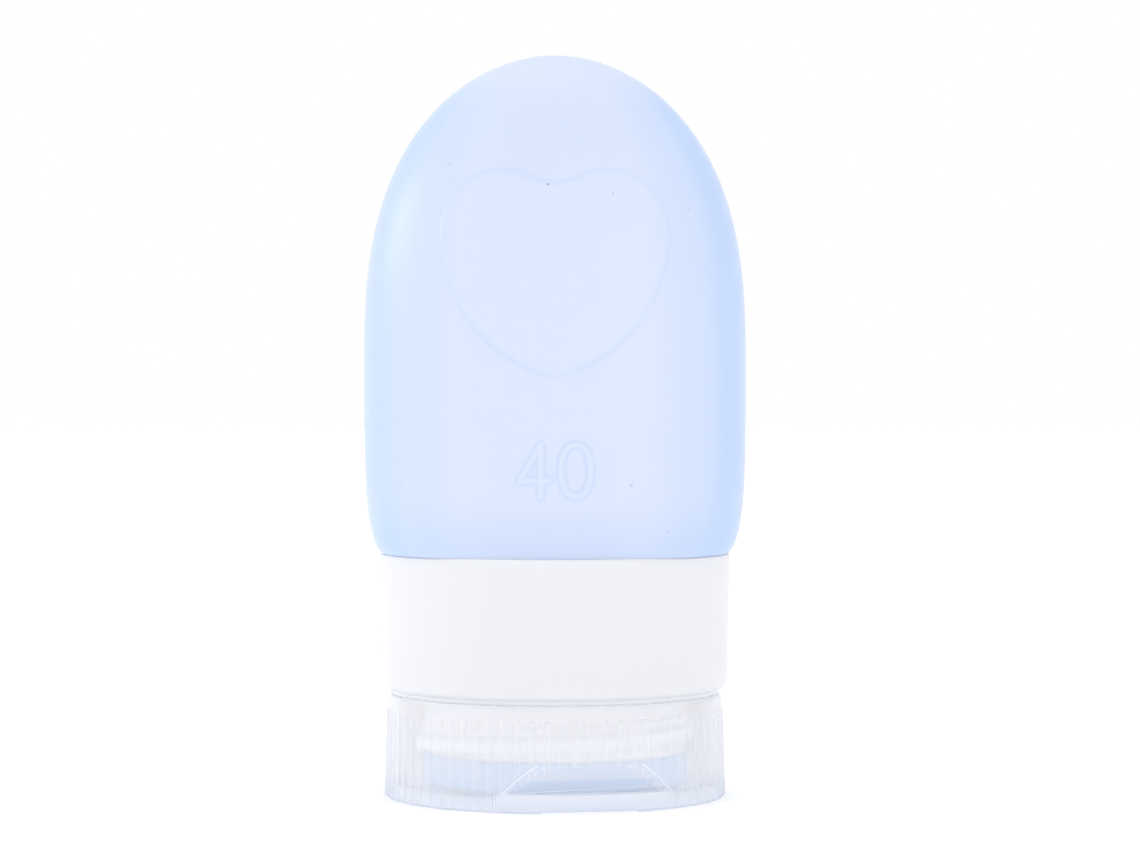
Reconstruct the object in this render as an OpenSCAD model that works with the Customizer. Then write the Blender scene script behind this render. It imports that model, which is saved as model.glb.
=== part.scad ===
// Silicone travel bottle with a flip-top screw cap, standing on its closed lid.
// Millimetres, +Z up, front at -Y. The origin is the centre of the lid's outer face.

/* [Silicone body] */
// Width of the body at its widest
body_w = 42; // [40:0.5:60]
// Depth of the body, front to back
body_d = 33; // [31:0.5:50]
// Height of the body above the collar
body_h = 54.6; // [45:0.2:90]
// Height above the collar at which the body is widest
belly_rise = 20.6; // [15:0.2:28]
// Wall of the body
body_wall = 2.3; // [1.6:0.1:3]
// Wall of the skirt that the collar grips
skirt_wall = 1.5; // [1:0.1:2]
// Thickness of the hem that shows under the collar
hem_t = 0.4; // [0.3:0.1:1]
// How far the hem reaches out past the collar's bore
hem_reach = 0.2; // [0.1:0.05:0.4]
// Squareness of the oval section, where 2 is an ellipse
section_n = 2.3; // [2:0.1:3]
// How far the body's sides stay inside the collar's top edge
rim_inset = 0.15; // [0:0.05:0.4]
// How far its front and back reach out over the collar's bore
rim_lap = 0.2; // [0.1:0.05:0.6]

/* [Heart on the front] */
// Width of the raised heart
heart_w = 24.3; // [12:0.1:26]
// Height of the heart's widest level above the collar
heart_rise = 34.7; // [28:0.1:38]
// Radius of its two lobes
heart_lobe_r = 6.5; // [5.6:0.1:7]
// Radius of its long sides
heart_side_r = 16; // [14:0.5:22]
// Radius of the fillet between the lobes
heart_cleft_r = 6; // [3:0.5:8]
// How far the heart stands out
heart_t = 0.25; // [0.1:0.05:0.6]

/* [Collar] */
// Diameter of the collar at its top
collar_d = 38.5; // [37:0.1:40]
// Height of the collar
collar_h = 14.95; // [10:0.05:20]
// Wall of the collar at its top
collar_wall = 1.45; // [1.2:0.05:2]
// Loss of radius down the collar's height
collar_taper = 0.28; // [0:0.02:0.4]
// Radius of the collar's lower outer edge
collar_edge_r = 0.8; // [0.2:0.1:0.9]

/* [Neck ring] */
// Wall of the threaded neck
neck_wall = 1.1; // [0.8:0.1:2]
// Room that the thread takes between neck and cap
thread_h = 0.75; // [0.4:0.05:1]
// Wall of the barbed sleeve inside the silicone
insert_wall = 1.4; // [1:0.1:2]
// How far the sleeve stops below the collar's top
insert_drop = 1.6; // [0.5:0.1:5]
// Number of grooves that make the sleeve's barbs
barb_count = 4; // [2:1:5]
// Depth of each groove
barb_depth = 0.4; // [0.2:0.1:0.7]
// Thickness of the flange under the silicone hem
flange_t = 0.5; // [0.4:0.1:1]

/* [Cap] */
// Diameter over the ribs at the lid's outer face
cap_d = 37.6; // [37:0.1:40]
// Height of the closed cap
cap_h = 11.4; // [11.2:0.1:16]
// Loss of radius for each millimetre of height
cap_draft = 0.025; // [0:0.005:0.04]
// Wall of the outer skirt
cap_wall = 1.1; // [0.9:0.1:1.4]
// Wall of the threaded inner sleeve
sleeve_wall = 1; // [0.8:0.1:1.4]
// Space between the skirt and the inner sleeve
sleeve_gap = 1; // [0.6:0.1:1.4]
// Thickness of the deck that carries the valve
deck_t = 0.75; // [0.6:0.05:1]
// Thickness of the web from the deck's edge to the skirt, above the lid
web_t = 0.85; // [0.7:0.05:1.2]
// Radius of the skirt's upper outer edge
cap_edge_r = 0.55; // [0.3:0.05:0.7]
// Radius of the pouring hole
orifice_r = 4; // [3:0.1:6]
// Angle that the cap is turned on the bottle
cap_turn = 12; // [-180:1:180]

/* [Ribs] */
// Number of ribs round the cap
rib_count = 74; // [40:1:90]
// Height of a rib
rib_h = 0.2; // [0.1:0.05:0.3]
// Width of a rib at its root
rib_w = 0.7; // [0.5:0.02:0.9]
// Width of a rib at its crest
rib_tip = 0.4; // [0.2:0.02:0.5]
// Height of the plain shoulder above the ribs
shoulder_h = 1.6; // [1:0.1:3]

/* [Lid] */
// Height of the lid's rim
lid_h = 2; // [1.8:0.1:3]
// Thickness of the lid's plate
plate_t = 0.9; // [0.6:0.05:1.2]
// Chamfer round the lid's outer face
lid_edge = 0.3; // [0.1:0.05:0.5]
// Radius of the boss that presses the valve shut
boss_r = 3; // [2:0.1:3.4]
// Width of the strap hinge at the back
strap_w = 9; // [6:0.5:10]
// Thickness of the strap hinge
strap_t = 0.35; // [0.25:0.05:0.5]
// Reach of the strap above and below the fold
strap_reach = 1.4; // [1:0.1:1.6]

/* [Thumb scoop] */
// Height of the scoop above the lid
scoop_h = 3; // [2:0.1:4]
// Depth of the scoop at its top
scoop_top = 0.9; // [0.5:0.1:1.1]
// Depth of the scoop at the lid
scoop_depth = 2.4; // [1.9:0.1:2.45]
// Half angle of the part of the lid's edge that has no ribs
scoop_angle = 33; // [28:1:40]
// How much narrower the lip's plain pad is at its top, at each end
pad_flare = 0.9; // [0:0.1:1.5]
// Width of the sight notch in the lid's face
notch_w = 10.8; // [6:0.2:14]
// Depth of the sight notch
notch_t = 0.4; // [0.2:0.05:0.6]

/* [Valve] */
// Height of the valve's sealing ring
valve_h = 2.95; // [2:0.05:3.5]
// Thickness of the valve's disc
valve_disc = 1.25; // [0.8:0.05:1.5]
// Wall of the sealing ring
valve_wall = 1.6; // [1.4:0.1:2.4]
// How far the sealing ring stands out past the neck
valve_over = 0.2; // [0:0.05:0.3]
// Length of each of the two crossed slits
slit_l = 5; // [3:0.1:5.6]

/* [Fits] */
// Clearance between pieces that are pressed together
seat_gap = 0.05; // [0.02:0.01:0.1]
// Clearance between pieces that move past each other
run_gap = 0.15; // [0.1:0.01:0.2]
// Clearance round the valve in its seat
valve_gap = 0.08; // [0.04:0.01:0.1]

/* [Hidden] */
$fn = 96;

// Levels, from the lid's outer face up
base_z = lid_h + seat_gap;
land_z = plate_t + run_gap;
deck_top = land_z + deck_t;
valve_z = deck_top + seat_gap;
neck_z = valve_z + valve_h + seat_gap;
hem_z = cap_h + seat_gap;
flange_z = hem_z - flange_t;
sleeve_top = flange_z - run_gap;
collar_z = hem_z + hem_t + seat_gap;
collar_top = collar_z + collar_h;
insert_top = collar_top - insert_drop;
rim_z = collar_top + seat_gap;
belly_z = rim_z + belly_rise;
crown_z = rim_z + body_h;
rib_top = cap_h - shoulder_h;
scoop_z = base_z + scoop_h;

// Radii of the cap, from the outside in
cap_r = cap_d / 2;
skirt_in_r = cap_r - rib_h - cap_draft * cap_h - cap_wall;
land_r = skirt_in_r - seat_gap;
lid_in_r = land_r + run_gap;
sleeve_r = skirt_in_r - sleeve_gap;
sleeve_in_r = sleeve_r - sleeve_wall;
neck_r = sleeve_in_r - thread_h - run_gap;
bore_r = neck_r - neck_wall;
valve_r = neck_r + valve_over;
seat_r = valve_r + valve_gap;
flange_r = skirt_in_r - 1.5 * run_gap;

// Radii of the collar and what it grips
collar_r = collar_d / 2;
collar_in_r = collar_r - collar_wall;
skirt_r = collar_in_r - seat_gap;
skirt_bore_r = skirt_r - skirt_wall;
insert_r = skirt_bore_r - seat_gap;
insert_bore_r = insert_r - insert_wall;

// Half width and half depth of the body where it rests on the collar
rim_hw = collar_r - rim_inset;
rim_hd = collar_in_r + rim_lap;

// The flat at the back that the strap hinge lies on, as wide as the strap, and the fold line
hinge_flat = sqrt(pow(cap_r - cap_draft * lid_h - rib_h, 2) - pow(strap_w / 2, 2));
hinge_y = hinge_flat + strap_t;
hinge_z = (lid_h + base_z) / 2;

// Chamfer on small inner edges
ease = 0.3;

// Number of points round each section of the body
ring_points = 48;

function crest_r(z) = cap_r - cap_draft * z;
function root_r(z) = crest_r(z) - rib_h;
function arc(cx, cy, r, a0, a1, steps) =
    [for (i = [0:steps]) let (a = a0 + (a1 - a0) * i / steps) [cx + r * cos(a), cy + r * sin(a)]];
function flip(points) = [for (i = [len(points) - 1:-1:0]) points[i]];

// Turns the front of the cap's pieces towards the thumb scoop's direction
module on_cap() {
    rotate([0, 0, cap_turn]) children();
}

// Extrudes a (y, z) outline along X, centred
module along_x(length) {
    rotate([90, 0, 90]) linear_extrude(height = length, center = true) children();
}

// A closed surface from one point, through rings of points, to another point
module skin(first, rings, last) {
    n = len(rings[0]);
    m = len(rings);
    points = concat([first], [for (ring = rings) each ring], [last]);
    function at(k, i) = 1 + k * n + i % n;
    faces = concat(
        [for (i = [0:n - 1]) [0, at(0, i), at(0, i + 1)]],
        [for (k = [0:m - 2], i = [0:n - 1]) [at(k, i), at(k + 1, i), at(k + 1, i + 1)]],
        [for (k = [0:m - 2], i = [0:n - 1]) [at(k, i), at(k + 1, i + 1), at(k, i + 1)]],
        [for (i = [0:n - 1]) [at(m - 1, i), 1 + m * n, at(m - 1, i + 1)]]);
    polyhedron(points = points, faces = faces, convexity = 6);
}

// The body's outline. Below the belly it rounds in to the rim, above it is a dome.
rim_p = 1.6;
rim_q = 4.8;
dome_p = 1.9;
dome_q = 2.7;
function rim_curve(u) = pow(1 - pow(1 - u, rim_q), 1 / rim_p);
function dome_curve(t) = pow(max(0, 1 - pow(t, dome_q)), 1 / dome_p);
function body_half(z, rim, belly) = z < belly_z
    ? rim + (belly - rim) * rim_curve((z - rim_z) / belly_rise)
    : belly * dome_curve((z - belly_z) / (crown_z - belly_z));
function half_w(z) = body_half(z, rim_hw, body_w / 2);
function half_d(z) = body_half(z, rim_hd, body_d / 2);
function front_y(x, z) =
    -half_d(z) * pow(max(0, 1 - pow(abs(x) / half_w(z), section_n)), 1 / section_n);

function power(v, e) = sign(v) * pow(abs(v), e);
function oval(hw, hd, z, n) = [for (i = [0:ring_points - 1]) let (a = -360 * i / ring_points)
    [hw * power(cos(a), 2 / n), hd * power(sin(a), 2 / n), z]];
function round_ring(r, z) = oval(r, r, z, 2);

// Levels of the sections: shares of the rise to the belly, then angles up the dome
rim_steps = [0, 0.015, 0.04, 0.08, 0.14, 0.24, 0.4, 0.65];
function dome_z(angle, height) = belly_z + height * pow(sin(angle), 2 / dome_q);

module body_shell() {
    dome_h = crown_z - belly_z;
    inner_h = dome_h - body_wall;
    outside = concat(
        [for (angle = [84:-6:0]) let (z = dome_z(angle, dome_h)) oval(half_w(z), half_d(z), z, section_n)],
        [for (u = flip(rim_steps)) let (z = rim_z + u * belly_rise) oval(half_w(z), half_d(z), z, section_n)],
        [round_ring(skirt_r, rim_z), round_ring(skirt_r, collar_z - seat_gap)],
        [for (z = [collar_z - seat_gap, hem_z]) round_ring(collar_in_r + hem_reach, z)]);
    inside = concat(
        [round_ring(skirt_bore_r, hem_z), round_ring(skirt_bore_r, insert_top)],
        [for (u = [0.08, 0.24, 0.5]) let (z = rim_z + u * belly_rise)
            oval(half_w(z) - body_wall, half_d(z) - body_wall, z, section_n)],
        [for (angle = [0:7:84]) let (share = dome_curve(pow(sin(angle), 2 / dome_q)))
            oval((body_w / 2 - body_wall) * share, (body_d / 2 - body_wall) * share,
                dome_z(angle, inner_h), section_n)]);
    skin([0, 0, crown_z], concat(outside, inside), [0, 0, crown_z - body_wall]);
}

// The heart's outline: a cleft fillet, two lobes and two long sides that meet in a tip
heart_z = rim_z + heart_rise;
lobe_x = heart_w / 2 - heart_lobe_r;
cleft_z = sqrt(pow(heart_lobe_r + heart_cleft_r, 2) - pow(lobe_x, 2));
cleft_angle = atan2(-cleft_z, lobe_x);
side_x = heart_w / 2 - heart_side_r;
tip_angle = acos(-side_x / heart_side_r);
heart_blunt = 0.5;
heart_half = concat(
    arc(0, cleft_z, heart_cleft_r, -90, cleft_angle, 3),
    arc(lobe_x, 0, heart_lobe_r, 180 + cleft_angle - 8, 0, 12),
    arc(side_x, 0, heart_side_r, -6, -tip_angle + 3, 9));
heart_tip = [0, heart_blunt - heart_side_r * sin(tip_angle)];
heart_outline = concat(heart_half, [heart_tip],
    [for (p = flip(heart_half)) if (p[0] > 0.01) [-p[0], p[1]]]);
// The raised face is this share of the outline's size, and the solid reaches this far into the wall
heart_edge = 0.96;
heart_root = 1.2;

function heart_ring(share, depth) = [for (p = heart_outline) let (x = p[0] * share, z = heart_z + p[1] * share)
    [x, front_y(x, z) + depth, z]];

module heart() {
    skin([0, front_y(0, heart_z) - heart_t, heart_z],
        [heart_ring(0.4, -heart_t), heart_ring(0.75, -heart_t), heart_ring(heart_edge, -heart_t),
            heart_ring(1, 0), heart_ring(1, heart_root), heart_ring(0.5, heart_root)],
        [0, front_y(0, heart_z) + heart_root, heart_z]);
}

module silicone_body() {
    color([0.84, 0.9, 1]) {
        body_shell();
        heart();
    }
}

// Barbed sleeve above the flange, threaded neck below it
module neck_ring() {
    pitch = (insert_top - hem_z) / (barb_count + 0.5);
    groove_h = 0.75 * pitch;
    // Where the bore widens: inside the sleeve, or within the flange if the neck is the wider one
    step = bore_r < insert_bore_r ? [hem_z + insert_wall / 2, hem_z + 1.5 * insert_wall]
        : [flange_z, hem_z - seat_gap];
    color([0.95, 0.95, 0.97]) difference() {
        rotate_extrude() polygon([
            [bore_r, neck_z + ease], [bore_r + ease, neck_z], [neck_r - ease, neck_z], [neck_r, neck_z + ease],
            [neck_r, flange_z], [flange_r, flange_z], [flange_r, hem_z - seat_gap],
            [insert_r, hem_z - seat_gap], [insert_r, insert_top - ease], [insert_r - ease, insert_top],
            [insert_bore_r, insert_top], [insert_bore_r, step[1]], [bore_r, step[0]]]);
        for (i = [1:barb_count]) translate([0, 0, hem_z + (i - 0.5) * pitch])
            rotate_extrude() polygon([
                [insert_r - barb_depth, 0], [insert_r + 1, 0], [insert_r + 1, groove_h],
                [insert_r, groove_h], [insert_r - barb_depth, barb_depth / 2]]);
    }
}

// Plain tapered ring with a rounded lower edge
module collar() {
    bottom_r = collar_r - collar_taper;
    collar_ease = 0.2;
    color([0.97, 0.97, 0.98]) rotate_extrude() polygon(concat(
        [[collar_in_r, collar_z]],
        arc(bottom_r - collar_edge_r, collar_z + collar_edge_r, collar_edge_r, -90, 0, 6),
        [[collar_r, collar_top - collar_ease], [collar_r - collar_ease, collar_top], [collar_in_r, collar_top]]));
}

// One rib: a tapered bar that leans with the cap's draft, longer than the stretch it is cut to
module rib_bar(z0, z1) {
    over_h = 1.5 * rib_h;
    over_w = rib_w - 1.5 * (rib_w - rib_tip);
    translate([root_r(z0), 0, z0]) rotate([0, -atan(cap_draft), 0]) translate([0, 0, -1])
        linear_extrude(height = z1 - z0 + 2) polygon([
            [-cap_wall / 2, -rib_w / 2], [0, -rib_w / 2], [over_h, -over_w / 2],
            [over_h, over_w / 2], [0, rib_w / 2], [-cap_wall / 2, rib_w / 2]]);
}

// Ribs between two levels, cut to an outline and left out over the plain front of the lid
module ribs(outline, z0, z1, front_clear) {
    intersection() {
        rotate_extrude() polygon(outline);
        for (i = [0:rib_count - 1]) let (a = 360 * i / rib_count)
            if (min(a, 360 - a) >= front_clear) rotate([0, 0, a - 90]) rib_bar(z0, z1);
    }
}

// The flat that is cut across the back for the strap hinge
module hinge_cut() {
    translate([-cap_r, hinge_flat, -1]) cube([2 * cap_r, cap_r, hinge_z + strap_reach + 1]);
}

// One half of the strap hinge, above the fold, or below it with side -1
module strap(side) {
    fold_gap = seat_gap / 2;
    root_y = hinge_flat - cap_wall / 4;
    translate([0, 0, hinge_z]) scale([1, 1, side]) along_x(strap_w) polygon([
        [root_y, fold_gap], [hinge_y, fold_gap], [hinge_y, strap_reach / 2],
        [hinge_flat, strap_reach], [root_y, strap_reach]]);
}

// What the thumb scoop takes from the base: a sloped cut down to the lid's lip
scoop_y = cap_r - scoop_depth;
module scoop_cut() {
    along_x(2 * cap_r) polygon([
        [-cap_r - 1, land_z - 1], [-scoop_y, land_z - 1], [-scoop_y, base_z],
        [-cap_r + scoop_top, scoop_z], [-cap_r - 1, scoop_z]]);
}

// The solid backing behind the scoop, between the skirt and the inner sleeve
module scoop_backing() {
    intersection() {
        translate([0, 0, base_z]) difference() {
            cylinder(r = skirt_in_r + cap_wall / 2, h = scoop_h + sleeve_wall);
            translate([0, 0, -1]) cylinder(r = sleeve_r - sleeve_wall / 2, h = scoop_h + sleeve_wall + 2);
        }
        translate([-notch_w, -cap_r, 0]) cube([2 * notch_w, cap_r, scoop_z + 2]);
    }
}

module cap_base() {
    shoulder_r = root_r(rib_top);
    top_r = shoulder_r - cap_draft * shoulder_h;
    rib_in_r = skirt_in_r + cap_wall / 4;
    web_top = base_z + web_t;
    color([0.9, 0.92, 0.96]) on_cap() {
        difference() {
            union() {
                rotate_extrude() polygon(concat(
                    [[orifice_r, land_z], [land_r - run_gap, land_z], [land_r, land_z + run_gap],
                        [land_r, base_z], [root_r(base_z), base_z], [shoulder_r, rib_top]],
                    arc(top_r - cap_edge_r, cap_h - cap_edge_r, cap_edge_r, 0, 90, 5),
                    [[skirt_in_r, cap_h], [skirt_in_r, web_top], [sleeve_r, web_top], [sleeve_r, sleeve_top],
                        [sleeve_in_r, sleeve_top], [sleeve_in_r, neck_z + thread_h], [seat_r, neck_z],
                        [seat_r, deck_top], [orifice_r, deck_top]]));
                ribs([[rib_in_r, base_z], [crest_r(base_z), base_z], [crest_r(rib_top), rib_top - rib_h],
                    [shoulder_r - rib_h, rib_top + rib_h], [rib_in_r, rib_top + rib_h]],
                    base_z, rib_top, 0);
                scoop_backing();
            }
            scoop_cut();
            hinge_cut();
        }
        strap(1);
    }
}

// Sealing ring and disc in one, with a slit nozzle that looks out of the pouring hole
module valve() {
    nozzle_r = orifice_r - 2 * run_gap;
    nozzle_z = land_z + run_gap;
    ring_in_r = valve_r - valve_wall;
    disc_z = valve_z + valve_disc;
    flap_top = nozzle_z + 0.7 * valve_disc;
    slit_w = 0.12;
    color([0.72, 0.83, 1]) on_cap() difference() {
        rotate_extrude() polygon([
            [0, nozzle_z], [nozzle_r - ease, nozzle_z], [nozzle_r, nozzle_z + ease], [nozzle_r, valve_z],
            [valve_r, valve_z], [valve_r, valve_z + valve_h], [ring_in_r, valve_z + valve_h],
            [ring_in_r, disc_z], [orifice_r + 1, disc_z], [orifice_r, flap_top], [0, flap_top]]);
        for (a = [45, 135]) rotate([0, 0, a]) translate([-slit_l / 2, -slit_w / 2, 0])
            cube([slit_l, slit_w, neck_z]);
    }
}

// The lip that the thumb lifts: the lid's rim, thickened inwards behind the scoop
module thumb_lip() {
    intersection() {
        translate([0, 0, plate_t / 2]) cylinder(r = lid_in_r + cap_wall / 4, h = lid_h - plate_t / 2);
        translate([-cap_r, -cap_r, 0]) cube([2 * cap_r, cap_r - scoop_y - run_gap, lid_h]);
    }
}

// The plain pad over the lip, flush with the ribs' crests and clear of the first rib at each end
module lip_pad(outline) {
    low_x = cap_r * sin(scoop_angle - asin(0.75 * rib_w / cap_r));
    high_x = low_x - pad_flare;
    over_x = 2 * low_x - high_x;
    intersection() {
        rotate_extrude() polygon(outline);
        rotate([90, 0, 0]) linear_extrude(height = cap_r + 1) polygon([
            [-over_x, -lid_h], [over_x, -lid_h], [high_x - pad_flare, 2 * lid_h], [pad_flare - high_x, 2 * lid_h]]);
    }
}

// Sight notch in the lid's outer face, with ramped ends
module sight_notch() {
    ramp = 0.7;
    translate([0, -cap_r, 0]) rotate([90, 0, 0])
        linear_extrude(height = 5, center = true) polygon([
            [-notch_w / 2, -1], [notch_w / 2, -1], [notch_w / 2, 0],
            [notch_w / 2 - ramp, notch_t], [ramp - notch_w / 2, notch_t], [-notch_w / 2, 0]]);
}

module lid() {
    boss_top = land_z + run_gap - seat_gap;
    rib_in_r = lid_in_r + cap_wall / 4;
    rib_outline = [[rib_in_r, seat_gap], [crest_r(0) - lid_edge, seat_gap],
        [crest_r(lid_edge), lid_edge + seat_gap], [crest_r(lid_h), lid_h], [rib_in_r, lid_h]];
    color([0.9, 0.92, 0.96]) on_cap() {
        difference() {
            union() {
                rotate_extrude() polygon([
                    [0, 0], [root_r(0) - lid_edge, 0], [root_r(lid_edge), lid_edge], [root_r(lid_h), lid_h],
                    [lid_in_r, lid_h], [lid_in_r, plate_t], [boss_r, plate_t], [boss_r, boss_top], [0, boss_top]]);
                ribs(rib_outline, 0, lid_h, scoop_angle);
                lip_pad(rib_outline);
                thumb_lip();
            }
            sight_notch();
            hinge_cut();
        }
        strap(-1);
    }
}

silicone_body();
neck_ring();
collar();
cap_base();
valve();
lid();
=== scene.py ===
"""Silicone travel bottle standing on its closed flip-top cap: camera, light, materials and the soft body.

Metres, +Z up, the front with the heart towards -Y. The origin is the centre of the lid's outer face.
"""
import math

import bpy
import numpy as np
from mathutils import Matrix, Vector


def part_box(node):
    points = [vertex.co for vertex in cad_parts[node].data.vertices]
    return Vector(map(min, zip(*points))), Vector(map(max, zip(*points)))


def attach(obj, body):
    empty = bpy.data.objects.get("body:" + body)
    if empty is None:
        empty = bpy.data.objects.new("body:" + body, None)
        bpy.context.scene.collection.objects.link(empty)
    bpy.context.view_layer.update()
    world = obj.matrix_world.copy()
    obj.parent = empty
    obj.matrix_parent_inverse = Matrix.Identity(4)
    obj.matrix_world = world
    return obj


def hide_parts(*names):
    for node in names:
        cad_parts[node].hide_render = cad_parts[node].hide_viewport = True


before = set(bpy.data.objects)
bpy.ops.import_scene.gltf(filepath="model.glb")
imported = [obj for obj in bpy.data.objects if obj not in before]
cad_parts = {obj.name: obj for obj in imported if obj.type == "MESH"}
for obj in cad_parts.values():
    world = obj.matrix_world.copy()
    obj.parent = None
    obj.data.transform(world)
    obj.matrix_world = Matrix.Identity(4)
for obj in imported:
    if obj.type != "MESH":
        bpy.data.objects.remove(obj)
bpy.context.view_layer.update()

MM = 0.001
scene = bpy.context.scene

# The photograph's frame, in pixels, and what was worked out from it
IMAGE_W = 1140
IMAGE_H = 855
FOCAL_PX = 3612
AXIS_PX = 555
HORIZON_PX = 378
EYE_HEIGHT = 46 * MM
EYE_DISTANCE = 398.4 * MM
SENSOR = 36
CLIP_NEAR = 0.01
CLIP_FAR = 20

# The white room: its level, and how much brighter its left is than its right
WORLD_LEVEL = 0.985
WORLD_LEAN = 0.02
# The soft boxes: name, place, width and height, and strength, where a face of 1 is white
SOFT_BOXES = (
    ("left_box", (-0.6, 0.17, 0.25), (0.1, 0.17), 8.0),
    ("top_box", (0.0, 0.12, 0.7), (0.15, 0.1), 1.8),
    ("right_box", (0.3, -0.5, 0.22), (0.1, 0.1), 2.5))
LIT_POINT = (0, 0, 0.04)
FLOOR_SIZE = 6
# What the floor adds for the eye, so that it shows white where no shadow falls on it
FLOOR_GLOW = 0.2

# Sizes of the silicone body, as the solids have them
BODY_DEPTH = 33 * MM
BELLY_RISE = 20.6 * MM
BODY_WALL = 2.3 * MM
SKIRT_WALL = 1.5 * MM
COLLAR_WALL = 1.45 * MM
SEAT_GAP = 0.05 * MM
RIM_LAP = 0.2 * MM
RIM_INSET = 0.15 * MM
INSERT_DROP = 1.6 * MM
SECTION_N = 2.3
RIM_P, RIM_Q = 1.6, 4.8
DOME_P, DOME_Q = 1.9, 2.7
# How near the shell comes to the collar, and the slant of its hem's foot
TOUCH = 0.01 * MM
HEM_SLANT = 0.1 * MM

# The raised heart: its width, its place above the rim, the radii of its arcs, how far it stands out and how
# wide its edge is
HEART_W = 24.3 * MM
HEART_RISE = 34.7 * MM
LOBE_R = 6.5 * MM
SIDE_R = 16 * MM
CLEFT_R = 6 * MM
HEART_T = 0.25 * MM
HEART_STEP = 0.5 * MM

# The raised plain number under the heart: its middle, its digits' size and stroke, how far it stands out and
# how wide its edge is
MARK_Z = 36.2 * MM
DIGIT_W = 3.1 * MM
DIGIT_H = 5.4 * MM
DIGIT_GAP = 1.3 * MM
STROKE_W = 0.8 * MM
MARK_T = 0.16 * MM
MARK_STEP = 0.35 * MM
# The 4's stem and bar, as shares of a digit's width and height, and the 0's roundness across and up
STEM_AT = 0.72
BAR_AT = -0.2
OVAL_POWERS = 0.8, 0.9
OVAL_STROKES = 36

# The skin's mesh: columns across the front, as shares of the half width, and round the sides and the back
FRONT_STEP = 0.0075
FRONT_COLUMNS = 98
SIDE_COLUMNS = 60
# Its rows: steps over the rim, up to the number, over it, up to the heart, over it and up to the crest
ROW_STEPS = (0.12 * MM, 0.5 * MM, 0.17 * MM, 0.5 * MM, 0.17 * MM, 0.4 * MM)
# Where those parts end: above the rim, past the number, below the heart's lobes as a share of its sides'
# radius, past its top, and at the crest, which has rows of its own up to the crown
RIM_ROWS_H = 1.2 * MM
MARK_MARGIN = 1 * MM
HEART_TAIL = 0.92
HEART_MARGIN = 0.6 * MM
CREST_Z = 76.5 * MM
CREST_ROWS = 26
# The hollow's rows: angles in degrees over the dome, then shares of the belly's rise
HOLLOW_ANGLES = range(84, -1, -4)
HOLLOW_SHARES = (0.7, 0.4, 0.24, 0.14, 0.08)
SHARP_ANGLE = math.radians(35)

# Painted shade: how deep the blue gets towards the sides, where the silicone turns away from the front and
# the light: depth, and its start and reach as shares of the half width
SIDE_PAINTED_SHADE = ((0.3, 0.45, 0.3), (0.58, 0.74, 0.2))
# The left side gets less of this painted shade than the right: painted light from the lamp on the left
LEFT_SHARE = 0.75
RIGHT_SHARE = 0.9
# Over the crown the painted shade is a belt from side to side, where the dome turns away
CROWN_PAINTED_SHADE = 0.5
CROWN_FADE = 7 * MM
CROWN_REACH = 6.5 * MM
# At the foot, where the body turns under towards the collar, painted shade is added, less where the sides are
# deep already, and the upper half is a little deeper
FOOT_PAINTED_SHADE = 0.3
FOOT_H = 7 * MM
FOOT_YIELD = 0.7
UPPER_TONE = 0.1
UPPER_Z = 62 * MM
UPPER_H = 12 * MM
# Painted shade along the heart's outline, deeper on the left against the light from that side, and along the
# number's edges
HEART_PAINTED_SHADE = 0.2
HEART_LEAN = 0.05
HEART_LEAN_X = 8 * MM
HEART_LINE = 0.3 * MM
MARK_PAINTED_SHADE = 0.3
MARK_LINE = 0.16 * MM
# Further than this under the rim the silicone is painted pale: painted light against the shade of the
# recess under the collar
PALE_DROP = 1 * MM

# The screw threads: their profile, turns and height, the steps of a turn, the share of a turn over which the
# ends fade, how deep they sink into the wall, what their crest stays short of, and the radii of the two walls
THREAD_PITCH = 3 * MM
THREAD_H = 0.55 * MM
THREAD_ROOT = 1.2 * MM
THREAD_CREST = 0.5 * MM
THREAD_TURNS = 1.4
THREAD_Z = 6.0 * MM
THREAD_STEPS = 48
THREAD_FADE = 1 / 6
THREAD_SINK = 0.1 * MM
THREAD_SPARE = 0.02 * MM
NECK_R = 14.315 * MM
SLEEVE_BORE = 15.215 * MM

# Specks of dust on the front: across, height and radius in millimetres, then how dark
SPECKS = (
    (-0.72, 66.55, 0.16, 0.85), (6.2, 65.6, 0.14, 0.35), (6.0, 67.3, 0.12, 0.2), (-11.2, 68.9, 0.14, 0.35),
    (-11.0, 66.7, 0.12, 0.3), (14.3, 64.0, 0.14, 0.35), (-2.3, 75.2, 0.12, 0.15), (2.1, 70.3, 0.12, 0.15),
    (-8.9, 73.6, 0.12, 0.2), (8.1, 34.6, 0.2, 0.4), (12.1, 29.6, 0.14, 0.3), (-16.5, 34.9, 0.12, 0.2))

# How much of the light each face of the clear plastic stops: inside, on the skirt, low and high in the thumb
# scoop, on the lip, along the ribs' flanks and along the scoop's edges; the last two show whiter, as painted
# highlights
CLEAR_ALPHA = 0.06
FROST_ALPHA = 0.72
SCOOP_LOW_ALPHA = 0.68
SCOOP_HIGH_ALPHA = 0.8
LIP_ALPHA = 0.84
RIB_HIGHLIGHT_ALPHA = 0.8
EDGE_HIGHLIGHT_ALPHA = 0.97
# The share of the light that the milky wall scatters that still goes forward, into the cap
FORWARD = 0.95
# Where the painted shade at the plastic's foot ends, and over what height or radius its looks change
CAP_FOOT_SHADE_TOP = 3.5 * MM
EASE = 0.1 * MM
# The skirt, the ribs' crests on it and how far inside it the frosting begins
SKIRT_R = 18.2 * MM
CREST_R = 18.75 * MM
FROST_EASE = 0.4 * MM
# Below this level every face is frosted: the lid's plate and the underside of the cap's deck
PLATE_TOP = 1.3 * MM
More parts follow.
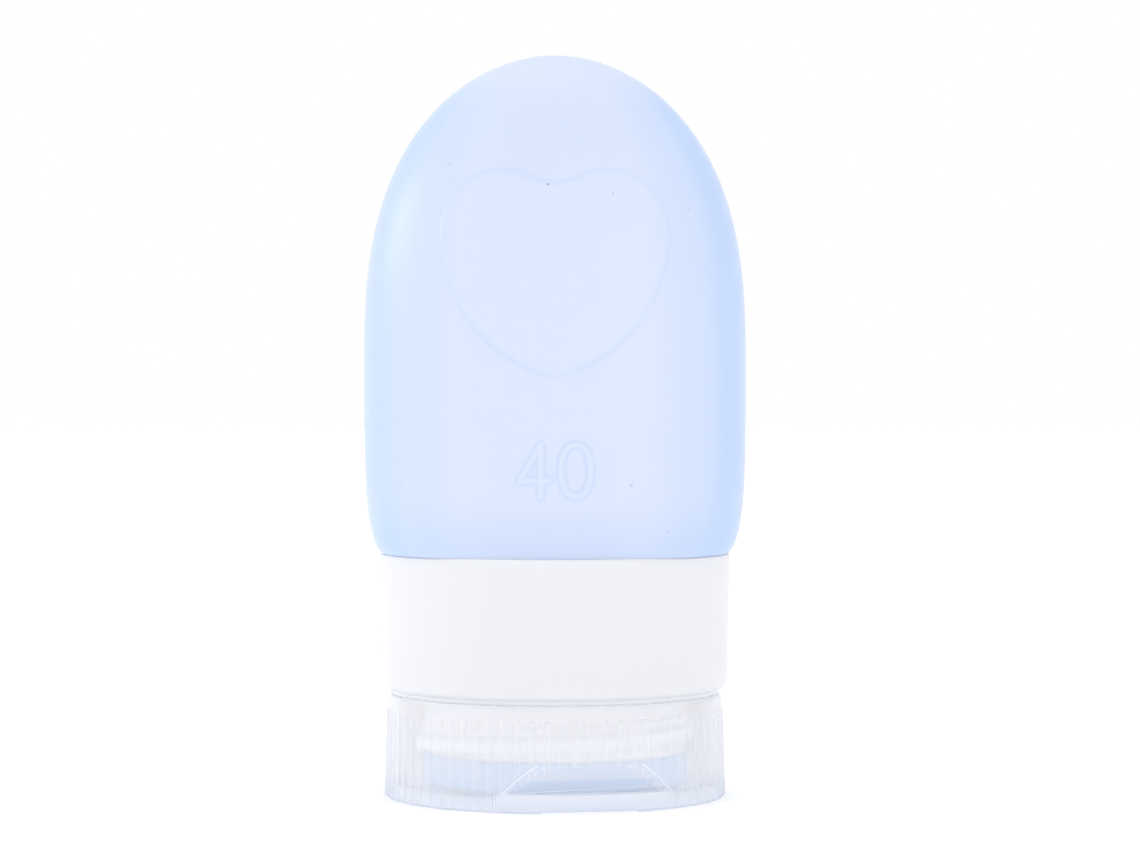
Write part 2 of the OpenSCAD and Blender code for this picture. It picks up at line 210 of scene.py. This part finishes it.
# The ribs: how many, where they fade out, and where the painted highlights on their flanks lie and how wide
# those are, as shares of the pitch
RIB_COUNT = 74
RIB_FADE_LOW = 9.6 * MM
RIB_FADE_HIGH = 10.1 * MM
FLANK_AT = 0.18
FLANK_W = 0.2
# The front of the lid's edge, with a plain pad instead of ribs: its middle, half angle, flare and top, and
# the radius of the lip behind it
PAD_TURN = math.radians(12)
PAD_HALF = math.radians(31.4)
PAD_FLARE = math.radians(1.5)
PAD_TOP = 2.0 * MM
LIP_R = 16.3 * MM
# The scoop's sloped face: its foot and top, how far out the foot is, its slope, and the height up to which it
# is clearer
SCOOP_Z = 2.05 * MM
SCOOP_TOP = 5.1 * MM
SCOOP_OUT = 16.4 * MM
SCOOP_SLOPE = 0.5
SCOOP_MIDDLE = 3.5 * MM
# The painted highlights along the scoop's edges, and the one across its foot: its height in front and its
# slope
LINE_W = 0.16 * MM
FOOT_LINE_Z = 2.27 * MM
FOOT_LINE_SLOPE = 0.036

# The height of the surfaces' fine grain
GRAIN_H = 0.01 * MM


def linear(red, green, blue):
    """A seen colour, 0 to 255 a channel, as linear values."""
    def channel(value):
        share = value / 255
        return share / 12.92 if share <= 0.04045 else ((share + 0.055) / 1.055) ** 2.4
    return (channel(red), channel(green), channel(blue), 1.0)


WHITE = (1, 1, 1, 1)
PAINTED_LIGHT_BLUE = linear(240, 244, 253)
BODY_BLUE = linear(220, 230, 255)
PAINTED_SHADE_BLUE = linear(178, 207, 255)
VALVE_BLUE = linear(105, 186, 255)
DUST = linear(140, 149, 168)
COLLAR_WHITE = linear(240, 241, 247)
NECK_WHITE = linear(252, 252, 255)
THREAD_WHITE = linear(246, 247, 255)
MILKY = linear(246, 247, 254)
PAINTED_CAP_FOOT_SHADE = linear(230, 236, 252)


# Camera and light

def aim(obj, target):
    obj.rotation_mode = "QUATERNION"
    obj.rotation_quaternion = (Vector(target) - obj.location).to_track_quat("-Z", "Y")


def make_camera():
    """The photograph's camera: almost level, in front, a little above the middle."""
    data = bpy.data.cameras.new("camera")
    data.sensor_width = SENSOR
    data.lens = FOCAL_PX / IMAGE_W * SENSOR
    data.clip_start = CLIP_NEAR
    data.clip_end = CLIP_FAR
    camera = bpy.data.objects.new("camera", data)
    scene.collection.objects.link(camera)
    camera.location = (0, -EYE_DISTANCE, EYE_HEIGHT)
    yaw = math.atan((IMAGE_W / 2 - AXIS_PX) / FOCAL_PX)
    pitch = math.atan((HORIZON_PX - IMAGE_H / 2) / FOCAL_PX)
    camera.rotation_euler = (math.pi / 2 + pitch, 0, -yaw)
    scene.camera = camera


def make_soft_box(name, location, size, strength):
    """A rectangular lamp whose face has about that strength, where 1 is white."""
    data = bpy.data.lights.new(name, "AREA")
    data.shape = "RECTANGLE"
    data.size, data.size_y = size
    data.energy = strength * math.pi * size[0] * size[1]
    lamp = bpy.data.objects.new(name, data)
    scene.collection.objects.link(lamp)
    lamp.location = location
    aim(lamp, LIT_POINT)
    lamp.visible_camera = False


def white_to_the_eye(nodes, links, level, seen_level=1.0):
    """One strength for rays from the eye, direct, by mirror or through glass, and another for the rest."""
    path = nodes.new("ShaderNodeLightPath")
    seen = path.outputs["Is Camera Ray"]
    for kind in ("Is Glossy Ray", "Is Transmission Ray"):
        either = nodes.new("ShaderNodeMath")
        either.operation = "MAXIMUM"
        links.new(seen, either.inputs[0])
        links.new(path.outputs[kind], either.inputs[1])
        seen = either.outputs[0]
    strength = nodes.new("ShaderNodeMapRange")
    if isinstance(level, bpy.types.NodeSocket):
        links.new(level, strength.inputs["To Min"])
    else:
        strength.inputs["To Min"].default_value = level
    strength.inputs["To Max"].default_value = seen_level
    links.new(seen, strength.inputs["Value"])
    return strength.outputs["Result"]


def make_world():
    """A white room that is slightly brighter on the left."""
    world = bpy.data.worlds.new("studio")
    scene.world = world
    world.use_nodes = True
    nodes, links = world.node_tree.nodes, world.node_tree.links
    background = nodes["Background"]
    background.inputs["Color"].default_value = WHITE
    direction = nodes.new("ShaderNodeSeparateXYZ")
    links.new(nodes.new("ShaderNodeTexCoord").outputs["Generated"], direction.inputs[0])
    level = nodes.new("ShaderNodeMapRange")
    level.inputs["From Min"].default_value = -1
    level.inputs["To Min"].default_value = WORLD_LEVEL * (1 + WORLD_LEAN)
    level.inputs["To Max"].default_value = WORLD_LEVEL * (1 - WORLD_LEAN)
    links.new(direction.outputs["X"], level.inputs["Value"])
    links.new(white_to_the_eye(nodes, links, level.outputs["Result"]), background.inputs["Strength"])


def make_floor():
    """A wide white floor that keeps the object's shadow."""
    half = FLOOR_SIZE / 2
    corners = [(-half, -half, 0), (half, -half, 0), (half, half, 0), (-half, half, 0)]
    mesh = bpy.data.meshes.new("floor")
    mesh.from_pydata(corners, [], [(0, 1, 2, 3)])
    floor = bpy.data.objects.new("floor", mesh)
    scene.collection.objects.link(floor)
    material = bpy.data.materials.new("floor_white")
    material.use_nodes = True
    nodes, links = material.node_tree.nodes, material.node_tree.links
    shader = nodes["Principled BSDF"]
    shader.inputs["Base Color"].default_value = WHITE
    shader.inputs["Roughness"].default_value = 1
    shader.inputs["Specular IOR Level"].default_value = 0
    shader.inputs["Emission Color"].default_value = WHITE
    links.new(white_to_the_eye(nodes, links, 0.0, FLOOR_GLOW), shader.inputs["Emission Strength"])
    mesh.materials.append(material)


# Materials

class Material:
    """A new material around one Principled shader, with small helpers for its nodes."""

    def __init__(self, name, base, roughness, **sockets):
        self.material = bpy.data.materials.new(name)
        self.material.use_nodes = True
        self.nodes = self.material.node_tree.nodes
        self.links = self.material.node_tree.links
        self.shader = self.nodes["Principled BSDF"]
        self.shader.inputs["Base Color"].default_value = base
        self.shader.inputs["Roughness"].default_value = roughness
        for socket, value in sockets.items():
            self.shader.inputs[socket.replace("_", " ")].default_value = value
        self.place = self.nodes.new("ShaderNodeTexCoord").outputs["Object"]

    def node(self, kind, inputs=None, **settings):
        made = self.nodes.new("ShaderNode" + kind)
        for key, value in settings.items():
            setattr(made, key, value)
        for key, value in (inputs or {}).items():
            if isinstance(value, bpy.types.NodeSocket):
                self.links.new(value, made.inputs[key])
            else:
                made.inputs[key].default_value = value
        return made

    def maths(self, operation, *values):
        return self.node("Math", dict(enumerate(values)), operation=operation).outputs[0]

    def vectors(self, operation, *values, output="Vector"):
        return self.node("VectorMath", dict(enumerate(values)), operation=operation).outputs[output]

    def minus(self, first, second):
        return self.maths("SUBTRACT", first, second)

    def times(self, first, *others):
        for other in others:
            first = self.maths("MULTIPLY", first, other)
        return first

    def most(self, first, *others):
        for other in others:
            first = self.maths("MAXIMUM", first, other)
        return first

    def noise(self, scale, detail=3, stretch=(1, 1, 1)):
        place = self.node("Mapping", {"Vector": self.place, "Scale": stretch}).outputs["Vector"]
        return self.node("TexNoise", {"Vector": place, "Scale": scale, "Detail": detail}).outputs["Fac"]

    def between(self, value, low, high, start=0.0, end=1.0):
        """Low at start and high at end, and even between them."""
        ends = {"Value": value, "From Min": start, "From Max": end, "To Min": low, "To Max": high}
        return self.node("MapRange", ends).outputs["Result"]

    def under(self, value, start, end):
        """1 up to the start, falling to 0 at the end."""
        return self.between(value, 1.0, 0.0, start, end)

    def line(self, gap, width):
        """1 where the gap is about 0, falling to 0 at half that width."""
        return self.under(self.maths("ABSOLUTE", gap), 0.25 * width, 0.5 * width)

    def blend(self, share, first, second):
        return self.node("Mix", {0: share, 6: first, 7: second}, data_type="RGBA").outputs[2]

    def link(self, name, socket):
        self.links.new(socket, self.shader.inputs[name])

    def surface(self, rough_noise, roughness, grain, strength):
        """Roughness that wanders between two values, and a fine grain."""
        self.link("Roughness", self.between(rough_noise, *roughness))
        made = self.node("Bump", {"Height": grain, "Distance": GRAIN_H, "Strength": strength})
        self.link("Normal", made.outputs["Normal"])


def specks(made):
    """How much of each point is a speck, on the front only."""
    flat = made.vectors("MULTIPLY", made.place, (1, 0, 1))
    total = 0.0
    for x, z, radius, dark in SPECKS:
        gap = made.vectors("DISTANCE", flat, (x * MM, 0, z * MM), output="Value")
        spot = made.between(gap, dark, 0.0, radius * MM * 0.5, radius * MM)
        total = made.most(spot, total)
    depth = made.node("SeparateXYZ", {0: made.place}).outputs["Y"]
    return made.times(total, made.maths("LESS_THAN", depth, 0.0))


def silicone_material():
    """Frosted silicone; its shading layer paints shade as deeper blue above 0 and light as paler blue below
    0.
    """
    made = Material("frosted_blue_silicone", BODY_BLUE, 0.44, IOR=1.41,
                    Subsurface_Weight=0.3, Subsurface_Radius=(0.8, 0.9, 1.0), Subsurface_Scale=0.0006,
                    Specular_IOR_Level=0.95, Sheen_Weight=0.35, Sheen_Roughness=0.3,
                    Coat_Weight=0.4, Coat_Roughness=0.42)
    painted_shading = made.node("Attribute", attribute_name="painted_shading").outputs["Fac"]
    cloud = made.between(made.noise(scale=90), -0.03, 0.03)
    share = made.maths("ADD", painted_shading, cloud)
    # Paler where painted light is laid under the rim, deeper where painted shade is laid
    paler = made.blend(made.between(share, 0.0, 1.0, -1.0, 0.0), PAINTED_LIGHT_BLUE, BODY_BLUE)
    colour = made.blend(made.between(share, 0.0, 1.0), paler, PAINTED_SHADE_BLUE)
    made.link("Base Color", made.blend(specks(made), colour, DUST))
    made.surface(made.noise(scale=700), (0.42, 0.46), made.noise(scale=5200, detail=2), 0.25)
    return made.material


def white_material(name, base):
    made = Material(name, base, 0.34, IOR=1.49, Specular_IOR_Level=0.12,
                    Subsurface_Weight=0.3, Subsurface_Radius=(1, 1, 1), Subsurface_Scale=0.0015)
    streaks = made.noise(scale=260, stretch=(1, 1, 0.15))
    made.surface(streaks, (0.30, 0.40), made.noise(scale=4200, detail=2), 0.2)
    return made.material


def valve_material():
    made = Material("blue_valve_silicone", VALVE_BLUE, 0.4, IOR=1.41,
                    Subsurface_Weight=0.1, Subsurface_Radius=(0.7, 0.85, 1.0), Subsurface_Scale=0.0005)
    made.link("Roughness", made.between(made.noise(scale=700), 0.35, 0.45))
    return made.material


class CapPlastic(Material):
    """The cap's plastic, with where each point lies on the cap."""

    def __init__(self, *settings, **sockets):
        super().__init__(*settings, **sockets)
        split = self.node("SeparateXYZ", {0: self.place}).outputs
        self.x, self.z = split["X"], split["Z"]
        self.radius = self.vectors("LENGTH", self.vectors("MULTIPLY", self.place, (1, 1, 0)), output="Value")
        # The angle from the scoop's middle, and 1 over the lid's pad, on the ribs and below the scoop's top
        self.turn = self.minus(self.maths("ARCTAN2", self.x, self.times(split["Y"], -1.0)), PAD_TURN)
        self.aside = self.maths("ABSOLUTE", self.turn)
        self.front = self.under(self.aside, PAD_HALF, PAD_HALF + PAD_FLARE)
        self.outer = self.between(self.radius, 0.0, 1.0, SKIRT_R - EASE, SKIRT_R + EASE)
        self.low = self.under(self.z, SCOOP_TOP, SCOOP_TOP + 0.5 * EASE)
        # 1 on the scoop's sloped face, and how far the ribs' crests would stand out of that face
        ahead = self.maths("COSINE", self.turn)
        cut = self.maths("MULTIPLY_ADD", self.minus(self.z, SCOOP_Z), SCOOP_SLOPE, SCOOP_OUT)
        past_face = self.minus(self.times(self.radius, ahead), cut)
        self.scoop = self.times(self.line(past_face, 2 * LINE_W), self.front, self.low)
        self.crest_past_face = self.minus(self.times(CREST_R, ahead), cut)

    def ribs(self):
        """Painted highlights as whiter lines on the ribs' flanks, which stop under the shoulder and at the
        lid's pad.
        """
        off = self.maths("PINGPONG", self.maths("DIVIDE", self.turn, 2 * math.pi / RIB_COUNT), 0.5)
        flank = self.line(self.minus(off, FLANK_AT), FLANK_W)
        pad = self.times(self.front, self.under(self.z, PAD_TOP, PAD_TOP + EASE))
        ribbed = self.minus(self.under(self.z, RIB_FADE_LOW, RIB_FADE_HIGH), pad)
        return self.times(flank, ribbed, self.outer)

    def edges(self):
        """Painted highlights as whiter lines along the scoop's arch, at the ends of the lid's pad and at the
        scoop's foot.
        """
        above_pad = self.between(self.z, 0.0, 1.0, PAD_TOP, SCOOP_Z)
        arch = self.line(self.maths("ADD", self.crest_past_face, 0.5 * LINE_W), LINE_W)
        arch = self.times(arch, self.outer, self.low, above_pad)
        past_pad = self.times(self.minus(self.aside, PAD_HALF + 0.5 * PAD_FLARE), SKIRT_R)
        ends = self.times(self.line(past_pad, LINE_W), self.outer, self.under(self.z, PAD_TOP, SCOOP_Z))
        level = self.maths("MULTIPLY_ADD", self.x, -FOOT_LINE_SLOPE, self.z)
        foot = self.times(self.line(self.minus(level, FOOT_LINE_Z), LINE_W), self.scoop)
        return self.most(arch, ends, foot)

    def stopped(self):
        """How much of the light each point stops, more along the painted highlights of the ribs and edges."""
        frosted = self.most(self.between(self.radius, 0.0, 1.0, SKIRT_R - FROST_EASE, SKIRT_R),
                            self.under(self.z, PLATE_TOP, PLATE_TOP + EASE))
        wall = self.between(frosted, CLEAR_ALPHA, FROST_ALPHA)
        in_scoop = self.between(self.z, SCOOP_LOW_ALPHA, SCOOP_HIGH_ALPHA,
                                SCOOP_MIDDLE - EASE, SCOOP_MIDDLE + EASE)
        lip = self.times(self.front, self.under(self.z, PAD_TOP, SCOOP_Z),
                         self.between(self.radius, 0.0, LIP_ALPHA, LIP_R - EASE, LIP_R))
        faces = self.most(wall, self.times(in_scoop, self.scoop), lip)
        faces = self.maths("ADD", faces, self.times(self.ribs(), RIB_HIGHLIGHT_ALPHA - FROST_ALPHA))
        return self.most(faces, self.times(self.edges(), EDGE_HIGHLIGHT_ALPHA))


def clear_material():
    """Milky plastic that shows what is behind it: clear inside, frosted outside, whitest at the edges as
    painted highlights.
    """
    made = CapPlastic("natural_polypropylene", MILKY, 0.3, IOR=1.5, Specular_IOR_Level=0.2,
                      Subsurface_Weight=0.1, Subsurface_Radius=(1, 1, 1), Subsurface_Scale=0.0008)
    path = made.node("LightPath").outputs
    lit = made.most(path["Is Shadow Ray"], path["Is Diffuse Ray"])
    made.link("Alpha", made.times(made.stopped(), made.between(lit, 1.0, 1 - FORWARD)))
    # Painted shade: bluer grey at the foot of the cap, near the floor
    made.link("Base Color", made.blend(made.between(made.z, 0.0, 1.0, 0.0, CAP_FOOT_SHADE_TOP), PAINTED_CAP_FOOT_SHADE, MILKY))
    made.surface(made.noise(scale=420), (0.25, 0.36), made.noise(scale=3000, detail=2), 0.2)
    return made.material


def dress(node, material):
    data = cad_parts[node].data
    data.materials.clear()
    data.materials.append(material)


# The silicone body

COLLAR_LOW, COLLAR_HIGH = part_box("collar")
BODY_LOW, BODY_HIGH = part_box("silicone_body")
RIM_Z = COLLAR_HIGH[2] + SEAT_GAP
BELLY_Z = RIM_Z + BELLY_RISE
CROWN_Z = BODY_HIGH[2]
HOLLOW_TOP = CROWN_Z - BODY_WALL
HEM_Z = BODY_LOW[2]
HEM_R = BODY_HIGH[1]
BELLY_HW = BODY_HIGH[0]
COLLAR_R = COLLAR_HIGH[0]
COLLAR_BORE = COLLAR_R - COLLAR_WALL
BODY_SKIRT_R = COLLAR_BORE - SEAT_GAP


def rim_curve(share):
    return (1 - (1 - share) ** RIM_Q) ** (1 / RIM_P)


def dome_curve(share):
    return max(0.0, 1 - share ** DOME_Q) ** (1 / DOME_P)


def half_size(z, rim, belly):
    if z < BELLY_Z:
        return rim + (belly - rim) * rim_curve(max(0.0, (z - RIM_Z) / BELLY_RISE))
    return belly * dome_curve((z - BELLY_Z) / (CROWN_Z - BELLY_Z))


def half_width(z):
    return half_size(z, COLLAR_R - RIM_INSET, BELLY_HW)


def half_depth(z):
    return half_size(z, COLLAR_BORE + RIM_LAP, BODY_DEPTH / 2)


def columns():
    """Where each column of the skin goes: the share of the half width, and front (-1) or back (1)."""
    middle = [(k * FRONT_STEP, -1) for k in range(-FRONT_COLUMNS, FRONT_COLUMNS + 1)]
    start = math.acos(FRONT_COLUMNS * FRONT_STEP)
    sides = []
    for k in range(1, SIDE_COLUMNS):
        angle = -start + (math.pi + 2 * start) * k / SIDE_COLUMNS
        sides.append((math.cos(angle), 1 if math.sin(angle) > 0 else -1))
    return np.array(middle + sides)


COLUMNS = columns()


def ring(hw, hd, z, n):
    """A closed ring of points at that height, a superellipse of exponent n."""
    across = np.clip(np.abs(COLUMNS[:, 0]), 0, 1)
    x = hw * COLUMNS[:, 0]
    y = hd * (1 - across ** n) ** (1 / n) * COLUMNS[:, 1]
    return np.column_stack([x, y, np.full(len(x), z)])


def heart_distance(x, z):
    """Signed distance from the heart's outline, negative inside, in metres. The outline is arcs."""
    lobe_x = HEART_W / 2 - LOBE_R
    cleft_z = math.sqrt((LOBE_R + CLEFT_R) ** 2 - lobe_x ** 2)
    side_x = HEART_W / 2 - SIDE_R
    x = np.abs(x)
    lobe = np.hypot(x - lobe_x, z) - LOBE_R
    side = np.hypot(x - side_x, z) - SIDE_R
    cleft = np.where(z < cleft_z, CLEFT_R - np.hypot(x, z - cleft_z), CLEFT_R)
    touch_x = lobe_x * CLEFT_R / (LOBE_R + CLEFT_R)
    return np.where(z > 0, np.where(x < touch_x, cleft, lobe), side)


def digit_strokes():
    """The number 40 as straight strokes, each from one point to another."""
    left = -(DIGIT_W + DIGIT_GAP / 2)
    bar_z = BAR_AT * DIGIT_H
    stem_x = left + STEM_AT * DIGIT_W
    top = DIGIT_H / 2
    four = [((stem_x, top), (left, bar_z)),
            ((left, bar_z), (left + DIGIT_W, bar_z)),
            ((stem_x, top), (stem_x, -top))]
    middle = DIGIT_GAP / 2 + DIGIT_W / 2
    oval = []
    for k in range(OVAL_STROKES + 1):
        across = math.cos(2 * math.pi * k / OVAL_STROKES)
        up = math.sin(2 * math.pi * k / OVAL_STROKES)
        oval.append((middle + DIGIT_W / 2 * math.copysign(abs(across) ** OVAL_POWERS[0], across),
                     top * math.copysign(abs(up) ** OVAL_POWERS[1], up)))
    return four + list(zip(oval[:-1], oval[1:]))


def stroke_distance(x, z):
    """Distance from the edge of the nearest stroke of the number, negative inside."""
    nearest = np.full(np.shape(x), 1.0)
    for (x0, z0), (x1, z1) in digit_strokes():
        length_squared = max(1e-12, (x1 - x0) ** 2 + (z1 - z0) ** 2)
        along = ((x - x0) * (x1 - x0) + (z - z0) * (z1 - z0)) / length_squared
        along = np.clip(along, 0, 1)
        nearest = np.minimum(nearest, np.hypot(x - x0 - along * (x1 - x0), z - z0 - along * (z1 - z0)))
    return nearest - STROKE_W / 2


def rows():
    """Levels of the body's outside, from the rim up: close together over the heart and the number."""
    heart_z = RIM_Z + HEART_RISE
    bounds = (RIM_Z, RIM_Z + RIM_ROWS_H,
              MARK_Z - DIGIT_H / 2 - MARK_MARGIN, MARK_Z + DIGIT_H / 2 + MARK_MARGIN,
              heart_z - HEART_TAIL * SIDE_R, heart_z + LOBE_R + HEART_MARGIN, CREST_Z)
    levels = []
    for low, high, step in zip(bounds, bounds[1:], ROW_STEPS):
        count = max(1, round((high - low) / step))
        levels += [low + (high - low) * k / count for k in range(count)]
    levels += [CROWN_Z - (CROWN_Z - CREST_Z) * (1 - k / CREST_ROWS) ** 2 for k in range(CREST_ROWS)]
    return levels


def smooth(share):
    share = np.clip(share, 0, 1)
    return share * share * (3 - 2 * share)


def outside_ring(z):
    """A ring of the outside, with the heart's pad and the number standing out of the front."""
    points = ring(half_width(z), half_depth(z), z, SECTION_N)
    heart = smooth(0.5 - heart_distance(points[:, 0], z - RIM_Z - HEART_RISE) / HEART_STEP)
    mark = smooth(0.5 - stroke_distance(points[:, 0], z - MARK_Z) / MARK_STEP)
    points[:, 1] -= np.where(COLUMNS[:, 1] < 0, HEART_T * heart + MARK_T * mark, 0)
    return points


def painted_shading_of(points):
    """Painted shade at each point of the outside, as blue depth from 0 to 1, and -1 where painted light pales
    it.
    """
    x, y, z = points.T
    width = np.array([half_width(level) for level in z])
    share = np.abs(x) / np.maximum(width, 1e-6)
    # Painted shade: deeper towards the sides, less on the left as painted light from there, then over the
    # crown, at the foot and along the raised edges
    side = sum(depth * smooth((share - start) / reach) for depth, start, reach in SIDE_PAINTED_SHADE)
    side *= np.where(x < 0, LEFT_SHARE, RIGHT_SHARE)
    top = smooth((z - CROWN_Z + CROWN_FADE) / CROWN_FADE)
    side = (1 - top) * side + CROWN_PAINTED_SHADE * top * smooth(1 - np.abs(y) / CROWN_REACH)
    foot = FOOT_PAINTED_SHADE * smooth((RIM_Z + FOOT_H - z) / FOOT_H) * (1 - FOOT_YIELD * side)
    upper = UPPER_TONE * smooth((z - UPPER_Z) / UPPER_H)
    heart = np.exp(-(heart_distance(x, z - RIM_Z - HEART_RISE) / HEART_LINE) ** 2)
    heart *= HEART_PAINTED_SHADE - HEART_LEAN * np.clip(x / HEART_LEAN_X, -1, 1)
    mark = MARK_PAINTED_SHADE * np.exp(-(stroke_distance(x, z - MARK_Z) / MARK_LINE) ** 2)
    lines = np.where(y < 0, heart + mark, 0)
    # Below the rim the hem is painted pale, painted light in the recess under the collar
    return np.where(z < RIM_Z - PALE_DROP, -1, np.clip(side + foot + upper + lines, 0, 1))


def outer_rings():
    """Rings of the outside, from the hem under the collar up to just below the crown."""
    low, high = COLLAR_LOW[2] - TOUCH, COLLAR_HIGH[2] + TOUCH
    skirt = ((HEM_R - HEM_SLANT, HEM_Z), (HEM_R, HEM_Z + HEM_SLANT), (HEM_R, low),
             (BODY_SKIRT_R, low), (BODY_SKIRT_R, high))
    rim = outside_ring(RIM_Z)
    rim[:, 2] = high
    return [ring(r, r, z, 2) for r, z in skirt] + [rim] + [outside_ring(z) for z in rows()]


def inner_rings():
    """Rings of the hollow, from just under its top down to the hem."""
    rings = []
    for angle in HOLLOW_ANGLES:
        share = math.sin(math.radians(angle)) ** (2 / DOME_Q)
        size = dome_curve(share)
        rings.append(ring((BELLY_HW - BODY_WALL) * size, (BODY_DEPTH / 2 - BODY_WALL) * size,
                          BELLY_Z + (HOLLOW_TOP - BELLY_Z) * share, SECTION_N))
    for share in HOLLOW_SHARES:
        z = RIM_Z + share * BELLY_RISE
        rings.append(ring(half_width(z) - BODY_WALL, half_depth(z) - BODY_WALL, z, SECTION_N))
    bore = BODY_SKIRT_R - SKIRT_WALL
    insert_top = COLLAR_HIGH[2] - INSERT_DROP
    return rings + [ring(bore, bore, z, 2) for z in (insert_top, (insert_top + HEM_Z) / 2, HEM_Z)]


def body_mesh():
    """One closed shell: outside from the hem up to the crown, then the hollow from its top down."""
    outside, inside = outer_rings(), inner_rings()
    points = np.vstack(outside + [[[0, 0, CROWN_Z]], [[0, 0, HOLLOW_TOP]]] + inside)
    width = len(COLUMNS)
    crown = len(outside) * width
    # The numbers of each ring's first point, and of the neighbours in a ring
    outer = [k * width for k in range(len(outside))]
    inner = [crown + 2 + k * width for k in range(len(inside))]
    neighbours = [(k, (k + 1) % width) for k in range(width)]

    def bands(starts):
        return [(low + k, low + j, high + j, high + k)
                for low, high in zip(starts, starts[1:]) for k, j in neighbours]

    faces = bands(outer)
    faces += [(outer[-1] + k, outer[-1] + j, crown) for k, j in neighbours]
    faces += [(crown + 1, inner[0] + j, inner[0] + k) for k, j in neighbours]
    faces += bands(inner + [0])
    mesh = bpy.data.meshes.new("silicone_shell")
    mesh.from_pydata([tuple(p) for p in points], [], faces)
    # The painted shade and painted light, kept as a layer that the silicone's shader reads
    painted_shading = np.zeros(len(points))
    painted_shading[:crown + 1] = painted_shading_of(points[:crown + 1])
    layer = mesh.attributes.new("painted_shading", "FLOAT", "POINT")
    layer.data.foreach_set("value", painted_shading.astype(np.float32))
    return mesh


def make_body(material):
    mesh = body_mesh()
    mesh.polygons.foreach_set("use_smooth", [True] * len(mesh.polygons))
    mesh.set_sharp_from_angle(angle=SHARP_ANGLE)
    mesh.materials.append(material)
    body = bpy.data.objects.new("silicone_shell", mesh)
    scene.collection.objects.link(body)
    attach(body, "bottle")
    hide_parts("silicone_body")


# The screw threads

def make_thread(name, wall_r, outward, start_z, body, material):
    """A ridge that winds round a wall and fades at both ends. outward is 1 on the neck and -1 in the cap."""
    count = round(THREAD_TURNS * THREAD_STEPS)
    root = wall_r - outward * THREAD_SINK
    points, faces = [], []
    for k in range(count + 1):
        angle = 2 * math.pi * k / THREAD_STEPS
        rise = smooth(min(k, count - k) / (THREAD_STEPS * THREAD_FADE))
        crest = wall_r + outward * (THREAD_H * float(rise) - THREAD_SPARE)
        z = start_z + THREAD_PITCH * k / THREAD_STEPS
        for radius, dz in ((root, -THREAD_ROOT / 2), (crest, -THREAD_CREST / 2),
                           (crest, THREAD_CREST / 2), (root, THREAD_ROOT / 2)):
            points.append((radius * math.cos(angle), radius * math.sin(angle), z + dz))
    for k in range(count):
        for j in range(4):
            i = (j + 1) % 4
            faces.append((4 * k + 4 + j, 4 * k + 4 + i, 4 * k + i, 4 * k + j))
    last = 4 * count
    faces += [(0, 1, 2, 3), (last + 3, last + 2, last + 1, last)]
    if outward < 0:
        faces = [face[::-1] for face in faces]
    mesh = bpy.data.meshes.new(name)
    mesh.from_pydata(points, [], faces)
    mesh.materials.append(material)
    thread = bpy.data.objects.new(name, mesh)
    scene.collection.objects.link(thread)
    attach(thread, body)


make_camera()
make_world()
make_floor()
for soft_box in SOFT_BOXES:
    make_soft_box(*soft_box)

make_body(silicone_material())
dress("collar", white_material("white_polypropylene", COLLAR_WHITE))
neck_white = white_material("bright_white_polypropylene", NECK_WHITE)
dress("neck_ring", neck_white)
cap_plastic = clear_material()
dress("cap_base", cap_plastic)
dress("lid", cap_plastic)
dress("valve", valve_material())
thread_white = white_material("milky_polypropylene", THREAD_WHITE)
make_thread("neck_thread", NECK_R, 1, THREAD_Z, "bottle", neck_white)
make_thread("cap_thread", SLEEVE_BORE, -1, THREAD_Z - THREAD_PITCH / 2, "cap", thread_white)

scene.view_settings.view_transform = "Standard"
